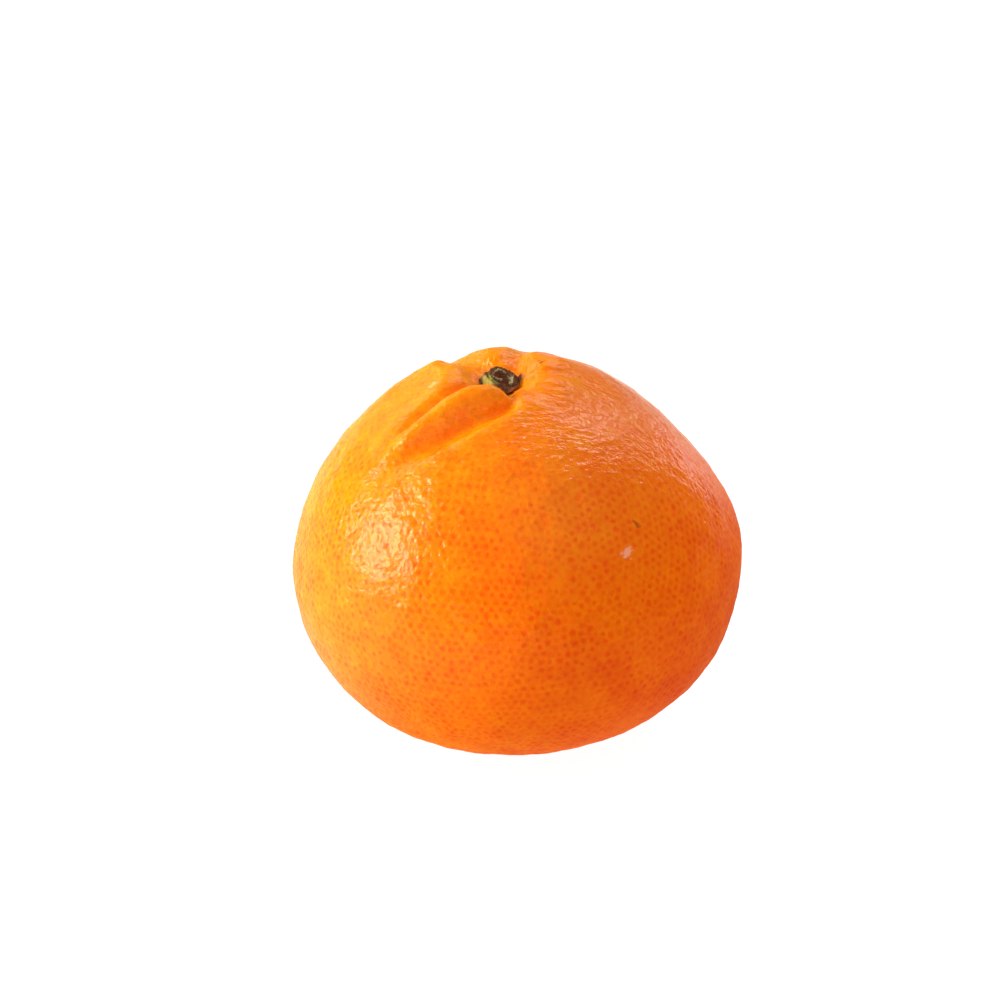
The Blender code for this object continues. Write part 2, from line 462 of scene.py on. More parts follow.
class Tree:
    """A thin layer over a node tree that makes nodes and links in one line each."""

    COLUMN_WIDTH = 190
    ROW_DROP = 160
    ROW_COUNT = 3
    # A colour mix has several sockets of each name, so these are taken by number.
    MIX_SHARE = 0
    MIX_FIRST = 6
    MIX_SECOND = 7
    MIX_RESULT = 2

    def __init__(self, tree: bpy.types.NodeTree) -> None:
        """Keeps the tree and starts it empty."""
        self.tree = tree
        self.tree.nodes.clear()
        self.column = 0

    def add(self, kind: str, inputs: Inputs | None = None, **settings: object) -> bpy.types.Node:
        """Makes a node.

        Args:
            kind: The node's Blender type.
            inputs: Values or output sockets by input name or number.
            settings: The node's own properties.

        Returns:
            The node.
        """
        node = self.tree.nodes.new(kind)
        node.location = (self.column * self.COLUMN_WIDTH, -(self.column % self.ROW_COUNT) * self.ROW_DROP)
        self.column += 1
        for name, value in settings.items():
            setattr(node, name, value)
        for name, value in (inputs or {}).items():
            self.feed(node.inputs[name], value)
        return node

    def feed(self, socket: bpy.types.NodeSocket, value: object) -> None:
        """Gives an input its value.

        Args:
            socket: The input.
            value: An output socket that is linked to it, or the value itself.
        """
        if isinstance(value, bpy.types.NodeSocket):
            self.tree.links.new(value, socket)
        else:
            socket.default_value = value

    def maths(self, operation: str, *values: object) -> bpy.types.NodeSocket:
        """A Math node's output.

        Args:
            operation: The node's operation.
            values: Its inputs in order.

        Returns:
            The result.
        """
        return self.add("ShaderNodeMath", dict(enumerate(values)), operation=operation).outputs[0]

    def total(self, *values: object) -> bpy.types.NodeSocket:
        """The sum of the values, added in order."""
        return reduce(lambda first, second: self.maths("ADD", first, second), values)

    def product(self, *values: object) -> bpy.types.NodeSocket:
        """The product of the values, multiplied in order."""
        return reduce(lambda first, second: self.maths("MULTIPLY", first, second), values)

    def swing(self, value: object, size: object) -> bpy.types.NodeSocket:
        """A value between 0 and 1, turned into a swing about zero that is size from end to end."""
        return self.product(self.maths("SUBTRACT", value, 0.5), size)

    def vectors(self, operation: str, inputs: Inputs) -> bpy.types.NodeSocket:
        """A Vector Math node's output."""
        return self.add("ShaderNodeVectorMath", inputs, operation=operation).outputs["Vector"]

    def apart(self, first: object, second: object) -> bpy.types.NodeSocket:
        """The distance between two places."""
        return self.add("ShaderNodeVectorMath", {0: first, 1: second}, operation="DISTANCE").outputs["Value"]

    def relief(self, height: object, metres: float) -> bpy.types.NodeSocket:
        """A normal bumped by a height, which is in units of so many metres."""
        return self.add("ShaderNodeBump", {"Height": height, "Distance": metres, "Strength": 1.0}).outputs[0]

    def attribute(self, name: str, output: str = "Fac") -> bpy.types.NodeSocket:
        """A mesh attribute's value, read by a material."""
        return self.add("ShaderNodeAttribute", attribute_name=name).outputs[output]

    def ramp(self, value: object, ramp: Ramp) -> bpy.types.NodeSocket:
        """A smooth, clamped change of range.

        Args:
            value: The value that is mapped.
            ramp: The ranges that it is mapped from and to.

        Returns:
            The mapped value.
        """
        node = self.add(
            "ShaderNodeMapRange",
            {
                "Value": value,
                "From Min": ramp.low,
                "From Max": ramp.high,
                "To Min": ramp.start,
                "To Max": ramp.end,
            },
            interpolation_type="SMOOTHSTEP",
        )
        return node.outputs["Result"]

    def mix(self, share: object, first: object, second: object, blend: str = "MIX") -> bpy.types.NodeSocket:
        """A colour mix.

        Args:
            share: How much of the second colour.
            first: The first colour.
            second: The second colour.
            blend: How the second is laid over the first.

        Returns:
            The mixed colour.
        """
        colours = {self.MIX_SHARE: share, self.MIX_FIRST: first, self.MIX_SECOND: second}
        return self.add("ShaderNodeMix", colours, data_type="RGBA", blend_type=blend).outputs[self.MIX_RESULT]

    def clouds(self, place: object, clouds: Clouds) -> bpy.types.NodeSocket:
        """Noise between 0 and 1.

        Args:
            place: Where it is read.
            clouds: Its scale and roughness.

        Returns:
            The noise.
        """
        inputs = {"Vector": place, "Scale": clouds.scale, "Detail": clouds.detail, "Roughness": clouds.rough}
        return self.add("ShaderNodeTexNoise", inputs).outputs[0]


def rgba(colour: Colour) -> tuple[float, float, float, float]:
    """A colour with full opacity."""
    return (*colour, 1.0)


def started_material(name: str) -> tuple[bpy.types.Material, Tree]:
    """Starts a material.

    Args:
        name: Its name.

    Returns:
        The material and its tree, still empty.
    """
    material = bpy.data.materials.new(name)
    material.use_nodes = True
    return material, Tree(material.node_tree)


def finish_with(tree: Tree, inputs: Inputs) -> None:
    """Ends a material's tree in a Principled shader with the given inputs."""
    shader = tree.add("ShaderNodeBsdfPrincipled", inputs)
    tree.add("ShaderNodeOutputMaterial", {"Surface": shader.outputs[0]})


# Finishes


@dataclass(frozen=True)
class Mark:
    """A small scar or speck on the peel."""

    place: tuple[float, float, float]
    radius: float
    colour: Colour
    strength: float


SCARS = (
    Mark((0.0156, -0.0221, 0.0355), 0.0009, (1.0, 0.50, 0.34), 0.60),
    Mark((0.0048, 0.0013, 0.0527), 0.0005, (0.20, 0.05, 0.01), 0.80),
    Mark((0.0169, -0.0193, 0.0382), 0.0005, (0.25, 0.06, 0.01), 0.50),
    Mark((-0.0093, -0.0019, 0.0506), 0.0006, (0.95, 0.60, 0.25), 0.50),
)


@dataclass(frozen=True)
class PeelSockets:
    """What the peel's colour, wax and relief read: places on the object, and noise that they share."""

    place: bpy.types.NodeSocket
    across: bpy.types.NodeSocket
    up: bpy.types.NodeSocket
    shaken: bpy.types.NodeSocket
    middling: bpy.types.NodeSocket
    fine: bpy.types.NodeSocket


@dataclass(frozen=True)
class PeelFinish:
    """Ripe peel: an orange skin with darker oil glands under a thin wax.

    Ripeness and painted shade go together, from about -1 on the yellow, lit upper left to about 1 on the red
    lower right:
    the gradient is partly the peel's own ripening colour and partly painted light and shade, and its darkest
    red, on the lower right, is painted shade. Wear goes in the same way from the waxed crown to the dull foot.
    Both grow across the fruit and fall with height. The ramps over the crown, the shoulder and the right side
    are on places in metres.
    """

    yellow: Colour = (0.95, 0.31, 0.004)
    orange: Colour = (0.94, 0.165, 0.002)
    red: Colour = (0.80, 0.078, 0.003)
    # Painted shade: the darkest red, laid over the lower right.
    painted_shade_red: Colour = (0.66, 0.062, 0.003)
    # The gradient over these is partly the peel's own ripening colour and partly painted light and shade:
    # yellower on the lit upper left, redder on the shaded lower right.
    ripe_and_shade_across: float = 10.3
    ripe_and_shade_up: float = -10.2
    ripe_and_shade_middle: float = 0.275
    # Painted shade: redder towards the right side, which turns away from the key light.
    ripe_and_shade_right: Ramp = Ramp(0.015, 0.030, 0.0, 0.10)
    to_orange: Ramp = Ramp(-0.7, 0.05)
    to_red: Ramp = Ramp(-0.1, 0.65)
    to_painted_shade_red: Ramp = Ramp(0.35, 1.1)

    broad: Clouds = Clouds(45.0)
    broad_swing: float = 0.5
    middling: Clouds = Clouds(160.0, 3.0)
    middling_swing: float = 0.45
    patchy: Clouds = Clouds(430.0)
    patchy_swing: float = 0.5
    fine: Clouds = Clouds(1900.0)
    pale_tint: Colour = (1.04, 1.34, 1.0)
    paling: Ramp = Ramp(0.35, 0.70, 0.0, 0.7)

    gland_tint: Colour = (0.92, 0.44, 0.5)
    dot_radius: float = 0.00056
    dot_strength: float = 0.9
    dot_edge: Ramp = Ramp(0.10, 1.15, 1.0, 0.0)
    dot_patches: Ramp = Ramp(0.30, 0.62, 0.55, 1.0)
    dot_chance: Ramp = Ramp(0.0, 1.0, 0.45, 1.0)
    dot_crown: Ramp = Ramp(0.039, 0.051, 1.0, 0.2)
    # The dots fade on the yellow upper left, along with the gradient's painted light.
    dot_ripeness_and_shade: Ramp = Ramp(-0.8, -0.1, 0.5, 1.0)
    shake_scale: float = 1400.0
    shake_reach: float = 0.0004

    marks: tuple[Mark, ...] = SCARS
    mark_core: float = 0.3
    mark_fray: Ramp = Ramp(0.35, 0.65, -0.0004, 0.0004)

    worn_across: float = 20.0
    worn_up: float = -25.0
    wax: Ramp = Ramp(-0.95, -0.40, 0.38, 0.07)
    shoulder_wax: float = 0.47
    shoulder_across: Ramp = Ramp(-0.019, 0.003)
    shoulder_foot: Ramp = Ramp(0.028, 0.042)
    shoulder_top: Ramp = Ramp(0.0475, 0.051, 1.0, 0.2)
    wax_roughness: float = 0.19

    roughness: Ramp = Ramp(0.3, 0.7, 0.35, 0.46)
    shine: float = 0.0
    refraction: float = 1.4
    under_skin: float = 0.35
    under_skin_reach: float = 0.0012
    under_skin_spread: Colour = (1.0, 0.38, 0.10)

    pore: Ramp = Ramp(0.1, 1.25, -0.000022, 0.0)
    grain: Clouds = Clouds(2500.0)
    grain_height: float = 0.00006
    wrinkle: Clouds = Clouds(950.0)
    wrinkle_height: float = 0.00014
    crown_wrinkle: Clouds = Clouds(950.0, 3.0, 0.55)
    crown_draw: tuple[float, float, float] = (0.45, 1.0, 1.3)
    crown_height: Ramp = Ramp(0.036, 0.048, 0.0, 0.00042)

    def dress(self) -> bpy.types.Material:
        """Builds the peel's material.

        Returns:
            The material.
        """
        material, tree = started_material("peel_skin")
        peel = self.sockets(tree)
        centre = tree.attribute("gland_centre", "Vector")
        reach = tree.product(tree.attribute("gland_size"), self.dot_radius)
        spread = tree.maths("DIVIDE", tree.apart(peel.shaken, centre), reach)
        relief = self.relief(tree, peel, spread)
        finish_with(
            tree,
            {
                "Base Color": self.skin(tree, peel, centre, spread),
                "Roughness": tree.ramp(peel.middling, self.roughness),
                "Normal": relief,
                "Coat Normal": relief,
                "Coat Weight": self.waxed(tree, peel),
                "Coat Roughness": self.wax_roughness,
                "IOR": self.refraction,
                "Specular IOR Level": self.shine,
                "Subsurface Weight": self.under_skin,
                "Subsurface Scale": self.under_skin_reach,
                "Subsurface Radius": self.under_skin_spread,
            },
        )
        return material

    def sockets(self, tree: Tree) -> PeelSockets:
        """Makes what the other parts of the finish read.

        Args:
            tree: The material's tree.

        Returns:
            The sockets. The shaken place keeps dots and marks from being quite round.
        """
        place = tree.add("ShaderNodeTexCoord").outputs["Object"]
        axes = tree.add("ShaderNodeSeparateXYZ", {"Vector": place}).outputs
        wobble = tree.add("ShaderNodeTexNoise", {"Vector": place, "Scale": self.shake_scale, "Detail": 1.0})
        swing = tree.vectors("SUBTRACT", {0: wobble.outputs["Color"], 1: (0.5, 0.5, 0.5)})
        step = tree.vectors("SCALE", {0: swing, "Scale": self.shake_reach})
        shaken = tree.vectors("ADD", {0: place, 1: step})
        middling, fine = tree.clouds(place, self.middling), tree.clouds(place, self.fine)
        return PeelSockets(place, axes["X"], axes["Z"], shaken, middling, fine)

    def skin(self, tree: Tree, peel: PeelSockets, centre: object, spread: object) -> bpy.types.NodeSocket:
        """The skin's colour, with painted light and shade in its gradient, a dot over each gland and the marks
        on top.

        Args:
            tree: The material's tree.
            peel: What the finish reads.
            centre: The middle of the gland.
            spread: The distance from it, 1 at the dot's edge.

        Returns:
            The colour.
        """
        # Partly the peel's ripening and partly painted light and shade: yellower on the lit upper left, redder
        # on the shaded lower right.
        ripeness_and_shade = tree.total(
            tree.product(peel.across, self.ripe_and_shade_across),
            tree.product(peel.up, self.ripe_and_shade_up),
            self.ripe_and_shade_middle,
            tree.swing(tree.clouds(peel.place, self.broad), self.broad_swing),
            tree.swing(peel.middling, self.middling_swing),
            tree.swing(tree.clouds(peel.place, self.patchy), self.patchy_swing),
            tree.ramp(peel.across, self.ripe_and_shade_right),
        )
        skin = tree.mix(tree.ramp(ripeness_and_shade, self.to_orange), rgba(self.yellow), rgba(self.orange))
        skin = tree.mix(tree.ramp(ripeness_and_shade, self.to_red), skin, rgba(self.red))
        # Painted shade: a darker red over the lower right, which turns away from the lights.
        skin = tree.mix(tree.ramp(ripeness_and_shade, self.to_painted_shade_red), skin, rgba(self.painted_shade_red))
        skin = tree.mix(tree.ramp(peel.fine, self.paling), skin, rgba(self.pale_tint), "MULTIPLY")
        chance = tree.add("ShaderNodeTexWhiteNoise", {"Vector": centre}, noise_dimensions="3D")
        dots = tree.product(
            tree.ramp(spread, self.dot_edge),
            tree.ramp(peel.middling, self.dot_patches),
            self.dot_strength,
            tree.ramp(chance.outputs["Value"], self.dot_chance),
            tree.ramp(peel.up, self.dot_crown),
            tree.ramp(ripeness_and_shade, self.dot_ripeness_and_shade),
        )
        skin = tree.mix(dots, skin, rgba(self.gland_tint), "MULTIPLY")
        fray = tree.ramp(peel.fine, self.mark_fray)
        for mark in self.marks:
            edge = Ramp(mark.radius * self.mark_core, mark.radius, mark.strength, 0.0)
            away = tree.total(tree.apart(peel.shaken, mark.place), fray)
            skin = tree.mix(tree.ramp(away, edge), skin, rgba(mark.colour))
        return skin

    def waxed(self, tree: Tree, peel: PeelSockets) -> bpy.types.NodeSocket:
        """How much wax lies on the peel: more towards the crown, and most on the right shoulder.

        Args:
            tree: The material's tree.
            peel: What the finish reads.

        Returns:
            The wax's weight.
        """
        worn = tree.total(tree.product(peel.across, self.worn_across), tree.product(peel.up, self.worn_up))
        shoulder = tree.product(
            tree.ramp(peel.across, self.shoulder_across),
            tree.ramp(peel.up, self.shoulder_foot),
            tree.ramp(peel.up, self.shoulder_top),
            self.shoulder_wax,
        )
        return tree.total(tree.ramp(worn, self.wax), shoulder)

    def relief(self, tree: Tree, peel: PeelSockets, spread: object) -> bpy.types.NodeSocket:
        """The finest relief: a pore at each gland, grain, and wrinkles that deepen and draw out on the crown.

        Args:
            tree: The material's tree.
            peel: What the finish reads.
            spread: The distance from the gland's middle, 1 at the dot's edge.

        Returns:
            The bumped normal.
        """
        drawn = tree.vectors("MULTIPLY", {0: peel.place, 1: self.crown_draw})
        height = tree.total(
            tree.ramp(spread, self.pore),
            tree.product(tree.clouds(peel.place, self.grain), self.grain_height),
            tree.product(tree.clouds(peel.place, self.wrinkle), self.wrinkle_height),
            tree.product(tree.clouds(drawn, self.crown_wrinkle), tree.ramp(peel.up, self.crown_height)),
        )
        return tree.relief(height, 1.0)


@dataclass(frozen=True)
class DryFinish:
    """What the dry finishes at the stem have in common."""

    roughness: float
    shine: float
    relief_height: float

    def finish_dry(self, tree: Tree, colour: object, normal: object) -> None:
        """Ends a material's tree with this finish.

        Args:
            tree: The material's tree.
            colour: Its colour.
            normal: Its bumped normal.
        """
        inputs = {"Base Color": colour, "Roughness": self.roughness, "Specular IOR Level": self.shine}
        finish_with(tree, {**inputs, "Normal": normal})


@dataclass(frozen=True)
class CalyxFinish(DryFinish):
    """Dry green calyx, going dark at its edges and tan at its thin tips."""

    green: Colour = (0.30, 0.27, 0.045)
    straw: Colour = (0.42, 0.33, 0.10)
    dark: Colour = (0.070, 0.026, 0.020)
    brown: Colour = (0.17, 0.075, 0.030)
    tan: Colour = (0.36, 0.13, 0.035)
    blotch: Clouds = Clouds(2200.0, 4.0, 0.6)
    streak: Clouds = Clouds(6000.0, 3.0, 0.6)
    to_straw: Ramp = Ramp(0.35, 0.65)
    to_brown: Ramp = Ramp(0.40, 0.62)
    worn_edge: Ramp = Ramp(0.30, 0.72)
    worn_swing: float = 0.9
    roughness: float = 0.75
    shine: float = 0.2
    relief_height: float = 0.00010

    def dress(self) -> bpy.types.Material:
        """Builds the calyx's material.

        Returns:
            The material.
        """
        material, tree = started_material("calyx_skin")
        place = tree.add("ShaderNodeTexCoord").outputs["Object"]
        blotch = tree.clouds(place, self.blotch)
        streak = tree.clouds(place, self.streak)
        fresh = tree.mix(tree.ramp(blotch, self.to_straw), rgba(self.green), rgba(self.straw))
        dead = tree.mix(tree.ramp(streak, self.to_brown), rgba(self.dark), rgba(self.brown))
        worn = tree.total(tree.attribute("worn"), tree.swing(blotch, self.worn_swing))
        colour = tree.mix(tree.ramp(worn, self.worn_edge), fresh, dead)
        colour = tree.mix(tree.attribute("dry"), colour, rgba(self.tan))
        self.finish_dry(tree, colour, tree.relief(streak, self.relief_height))
        return material


@dataclass(frozen=True)
class StubFinish(DryFinish):
    """Torn stem tissue: a dark mottled rim, red-brown holes, pale fibres and a green flank."""

    dark: Colour = (0.055, 0.022, 0.018)
    brown: Colour = (0.20, 0.085, 0.030)
    hollow: Colour = (0.26, 0.062, 0.014)
    fibre: Colour = (0.52, 0.44, 0.26)
    green: Colour = (0.33, 0.28, 0.06)
    blotch: Clouds = Clouds(2600.0, 4.0, 0.65)
    torn: Clouds = Clouds(7000.0, 4.0, 0.65)
    torn_swing: float = 1.3
    pale_swing: float = 0.8
    to_brown: Ramp = Ramp(0.40, 0.60)
    to_green: Ramp = Ramp(0.30, 0.75)
    to_fibre: Ramp = Ramp(0.35, 0.85)
    roughness: float = 0.8
    shine: float = 0.2
    relief_height: float = 0.00016

    def dress(self) -> bpy.types.Material:
        """Builds the stub's material.

        Returns:
            The material.
        """
        material, tree = started_material("stub_tissue")
        place = tree.add("ShaderNodeTexCoord").outputs["Object"]
        torn = tree.clouds(place, self.torn)
        swing = tree.swing(torn, self.torn_swing)
        colour = tree.mix(tree.ramp(torn, self.to_brown), rgba(self.dark), rgba(self.brown))
        fresh = tree.total(tree.attribute("fresh"), swing)
        colour = tree.mix(tree.ramp(fresh, self.to_green), colour, rgba(self.green))
        colour = tree.mix(tree.attribute("deep"), colour, rgba(self.hollow))
        blotch = tree.swing(tree.clouds(place, self.blotch), self.pale_swing)
        pale = tree.total(tree.attribute("pale"), blotch, swing)
        colour = tree.mix(tree.ramp(pale, self.to_fibre), colour, rgba(self.fibre))
        self.finish_dry(tree, colour, tree.relief(torn, self.relief_height))
        return material


# The fruit


@dataclass
class Fruit:
    """The whole fruit: its folded form covered with oil glands."""

    form: FruitForm
    placement: Placement
    finish: PeelFinish
    gland_spacing: float = 0.00097
    gland_seed: int = 7
    cuts: int = 2
    most_glands: int = 11000
    ground_cuts: int = 6
    fullest_density: float = 1.0e8
    smallest_gland: float = 0.65
    largest_gland: float = 1.15
    pit_depth: float = 0.000020
    pit_radius: float = 0.00050
    pit_section: Ramp = Ramp(0.0, 1.0, -1.0, 0.0)
    ripple_height: float = 0.00048
    ripple_scale: float = 300.0
    ripple_detail: float = 3.0

    def scatter_tree(self) -> bpy.types.NodeTree:
        """The tree that scatters gland centres evenly over a surface.

        Returns:
            The Geometry Nodes tree. Its inputs are Spacing and Seed, and it gives bare vertices.
        """
        group = new_group("gland scatter", {"Spacing": "Float", "Seed": "Int"})
        tree = Tree(group)
        given = tree.add("NodeGroupInput")
        scatter = tree.add(
            "GeometryNodeDistributePointsOnFaces",
            {
                "Mesh": given.outputs["Geometry"],
                "Seed": given.outputs["Seed"],
                "Distance Min": given.outputs["Spacing"],
                "Density Max": self.fullest_density,
            },
            distribute_method="POISSON",
        )
        dots = tree.add("GeometryNodePointsToVertices", {0: scatter.outputs["Points"]})
        whole = tree.add("GeometryNodeRealizeInstances", {0: dots.outputs[0]})
        tree.add("NodeGroupOutput", {0: whole.outputs[0]})
        return group

    def gland_directions(self) -> np.ndarray:
        """Scatters the glands over the form.

        Returns:
            The glands' directions from the fruit's middle, as unit vectors, one a row.
        """
        ball = bmesh.new()
        bmesh.ops.create_icosphere(ball, subdivisions=self.ground_cuts, radius=1.0)
        mesh = bpy.data.meshes.new("gland_ground")
        ball.to_mesh(mesh)
        ball.free()
        directions = read_vectors(mesh.vertices, "co")
        attribute = mesh.attributes.new("direction", "FLOAT_VECTOR", "POINT")
        attribute.data.foreach_set("vector", directions.astype(np.float32).ravel())
        move_vertices(mesh, self.form.points(directions))
        ground = new_piece("gland_ground", mesh)
        scatter = ground.modifiers.new("scatter", "NODES")
        scatter.node_group = self.scatter_tree()
        set_modifier_inputs(scatter, {"Spacing": self.gland_spacing, "Seed": self.gland_seed})
        baked(ground)
        found = read_vectors(ground.data.attributes["direction"].data, "vector")
        bpy.data.objects.remove(ground)
        found /= np.linalg.norm(found, axis=1, keepdims=True)
        LOG.info("glands: %d", len(found))
        return found[: self.most_glands]

    def netted_mesh(self) -> bpy.types.Mesh:
        """Nets the form with triangles that have a gland at every main corner.

        Returns:
            The mesh in the row's frame, with the attribute is_gland on the gland corners.
        """
        glands = self.gland_directions()
        net = bmesh.new()
        for direction in glands:
            net.verts.new(direction)
        bmesh.ops.convex_hull(net, input=net.verts[:], use_existing_faces=False)
        bmesh.ops.recalc_face_normals(net, faces=net.faces[:])
        net.verts.index_update()
        bmesh.ops.subdivide_edges(net, edges=net.edges[:], cuts=self.cuts, use_grid_fill=True)
        mesh = bpy.data.meshes.new("peel")
        net.to_mesh(mesh)
        net.free()
        directions = read_vectors(mesh.vertices, "co")
        directions /= np.linalg.norm(directions, axis=1, keepdims=True)
        move_vertices(mesh, self.placement.place(self.form.points(directions)))
        marks = np.zeros(len(mesh.vertices), bool)
        marks[: len(glands)] = True
        mesh.attributes.new("is_gland", "BOOLEAN", "POINT").data.foreach_set("value", marks)
        return mesh

    def gland_tree(self, material: bpy.types.Material) -> bpy.types.NodeTree:
        """The tree that sinks a pit at each gland and notes each gland's middle for the material.

        Args:
            material: The peel's material.

        Returns:
            The Geometry Nodes tree, with the sizes of the pits and ripples as named inputs.
        """
        sizes = ("Pit Depth", "Pit Radius", "Ripple Height", "Ripple Scale")
        group = new_group("oil glands", {**dict.fromkeys(sizes, "Float"), "Seed": "Int"})
        tree = Tree(group)
        given = tree.add("NodeGroupInput")
        place = tree.add("GeometryNodeInputPosition").outputs[0]
        normal = tree.add("GeometryNodeInputNormal").outputs[0]
        marked = tree.add("GeometryNodeInputNamedAttribute", {"Name": "is_gland"}, data_type="BOOLEAN")
        glands = tree.add(
            "GeometryNodeMeshToPoints", {"Mesh": given.outputs["Geometry"], "Selection": marked.outputs[0]}
        ).outputs[0]
        sampled = {"Geometry": glands, "Sample Position": place}
        nearest = tree.add("GeometryNodeSampleNearest", sampled).outputs[0]
        middle = tree.add(
            "GeometryNodeSampleIndex",
            {"Geometry": glands, "Value": place, "Index": nearest},
            data_type="FLOAT_VECTOR",
            domain="POINT",
        )
        centre = middle.outputs[0]
        chance = tree.add("FunctionNodeRandomValue", data_type="FLOAT")
        tree.feed(live_socket(chance.inputs, "Min"), self.smallest_gland)
        tree.feed(live_socket(chance.inputs, "Max"), self.largest_gland)
        tree.feed(chance.inputs["ID"], nearest)
        tree.feed(chance.inputs["Seed"], given.outputs["Seed"])
        size = live_socket(chance.outputs, "Value")

        noted = tree.add(
            "GeometryNodeStoreNamedAttribute",
            {"Geometry": given.outputs["Geometry"], "Name": "gland_centre"},
            data_type="FLOAT_VECTOR",
            domain="FACE",
        )
        tree.feed(live_socket(noted.inputs, "Value"), centre)
        sized = tree.add(
            "GeometryNodeStoreNamedAttribute",
            {"Geometry": noted.outputs[0], "Name": "gland_size"},
            data_type="FLOAT",
            domain="FACE",
        )
        tree.feed(live_socket(sized.inputs, "Value"), size)

        reach = tree.product(given.outputs["Pit Radius"], size)
        away = tree.maths("DIVIDE", tree.apart(place, centre), reach)
        pit = tree.product(tree.ramp(away, self.pit_section), given.outputs["Pit Depth"])
        ripple = tree.clouds(place, Clouds(given.outputs["Ripple Scale"], self.ripple_detail))
        rise = tree.total(pit, tree.swing(ripple, given.outputs["Ripple Height"]))
        offset = tree.vectors("SCALE", {0: normal, "Scale": rise})
        shift = {"Geometry": sized.outputs[0], "Offset": offset}
        moved = tree.add("GeometryNodeSetPosition", shift)
        smooth = tree.add("GeometryNodeSetShadeSmooth", {0: moved.outputs[0]})
        whole = tree.add("GeometryNodeRealizeInstances", {0: smooth.outputs[0]})
        dressed = tree.add("GeometryNodeSetMaterial", {"Geometry": whole.outputs[0], "Material": material})
        tree.add("NodeGroupOutput", {0: dressed.outputs[0]})
        return group

    def build(self) -> bpy.types.Object:
        """Builds and dresses the fruit.

        Returns:
            The finished piece.
        """
        piece = new_piece("peel", self.netted_mesh())
        glands = piece.modifiers.new("oil glands", "NODES")
        glands.node_group = self.gland_tree(self.finish.dress())
        set_modifier_inputs(
            glands,
            {
                "Pit Depth": self.pit_depth,
                "Pit Radius": self.pit_radius,
                "Ripple Height": self.ripple_height,
                "Ripple Scale": self.ripple_scale,
                "Seed": self.gland_seed,
            },
        )
        baked(piece)
        self.rest_on_floor(piece.data)
        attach(piece, "root")
        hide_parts(Node.FRUIT.value)
        return piece

    def rest_on_floor(self, mesh: bpy.types.Mesh) -> None:
        """Flattens the fruit where it touches the floor.

        Args:
            mesh: The peel's mesh.
        """
        points = read_vectors(mesh.vertices, "co")
        points[:, 2] = np.maximum(points[:, 2], 0.0)
        move_vertices(mesh, points)


# The stem end


@dataclass(frozen=True)
class StemEnd:
    """The sizes that the calyx and the stub share."""

    middle: tuple[float, float] = (0.0006, -0.0003)
    long_radius: float = 0.0021
    short_radius: float = 0.0018
    turned: float = math.radians(-40)
    clearance: float = 0.00012
    low_side: float = math.radians(-55)

    def radius(self, azimuth: np.ndarray) -> np.ndarray:
        """The stub's radius at each azimuth.

        Args:
            azimuth: Angles round the stem.

        Returns:
            The oval's radius at each.
        """
        around = azimuth - self.turned
        across = np.hypot(self.short_radius * np.cos(around), self.long_radius * np.sin(around))
        return self.long_radius * self.short_radius / across


@dataclass(frozen=True)
class Side:
    """A stretch round the stem: the azimuth of its middle and how far it reaches, both in degrees."""

    azimuth: float
    reach: float

    def share(self, azimuth: np.ndarray) -> np.ndarray:
        """1 in the middle of the stretch, sinking smoothly outside it."""
        return bump(np.arccos(np.cos(azimuth - math.radians(self.azimuth))), math.radians(self.reach))


@dataclass(frozen=True)
class Band:
    """A band round the stem: how far out its middle lies and its half width, in shares of the way out."""

    middle: float
    half_width: float

    def share(self, out: np.ndarray) -> np.ndarray:
        """1 in the middle of the band, sinking smoothly outside it."""
        return bump(out - self.middle, self.half_width)


@dataclass(frozen=True)
class Roughness:
    """Fractal noise between about -1 and 1, at a scale in features a metre. The seed picks the pattern."""

    scale: float
    seed: float
    fall: float = 0.9
    gap: float = 2.0
    octaves: int = 4

    def at(self, x: np.ndarray, y: np.ndarray) -> np.ndarray:
        """The noise at points.

        Args:
            x: Their places across, in metres.
            y: Their places in depth, in the same shape.

        Returns:
            The noise, in the same shape.
        """
        spots = zip(x.ravel() * self.scale + self.seed, y.ravel() * self.scale)
        found = [noise.fractal(Vector((a, b, 0.0)), self.fall, self.gap, self.octaves) for a, b in spots]
        return np.array(found).reshape(x.shape)

    def around(self, azimuth: np.ndarray) -> np.ndarray:
        """The noise along a circle with a radius of 1 mm, so that it closes round the stem."""
        return self.at(np.cos(azimuth) * MM, np.sin(azimuth) * MM)


@dataclass(frozen=True)
class Ribs:
    """Fine ribs round the stem, that wander with the noise round it."""

    count: float
    height: float
    wander: float

    def rise(self, azimuth: np.ndarray, ragged: np.ndarray) -> np.ndarray:
        """The ribs' height at each azimuth."""
        return self.height * np.cos(azimuth * self.count + self.wander * ragged)


@dataclass(frozen=True)
class Hole:
    """A hole in the stub's broken top, placed from the stub's middle."""

    x: float
    y: float
    radius: float
    depth: float

    def share(self, x: np.ndarray, y: np.ndarray, spread: float = 1.0) -> np.ndarray:
        """1 in the middle of the hole, with a flat floor and a steep wall, and nothing outside it."""
        return np.exp(-((np.hypot(x - self.x, y - self.y) / (self.radius * spread)) ** 4))


HOLES = (Hole(-0.00066, 0.00058, 0.00044, 0.0006), Hole(0.00014, -0.00040, 0.00048, 0.0007))


@dataclass(frozen=True)
class Web:
    """The ridge of torn fibres between the holes, placed from the stub's middle."""

    x: float = -0.00060
    y: float = 0.00010
    slope: float = 0.15
    half_length: float = 0.00075
    half_width: float = 0.00026
    height: float = 0.00035
    body: float = 0.8
    roughness: Roughness = Roughness(5200.0, 31.0)

    def share(self, x: np.ndarray, y: np.ndarray) -> np.ndarray:
        """How much of the ridge is at each point.

        Args:
            x: The points' places across.
            y: Their places in depth, in the same shape.

        Returns:
            About 1 in the ridge's middle, sinking to nothing outside it.
        """
        across = bump(y - self.y - self.slope * x, self.half_width)
        along = bump(x - self.x, self.half_length)
        return across * along * self.body * (1.0 + self.roughness.at(x, y))


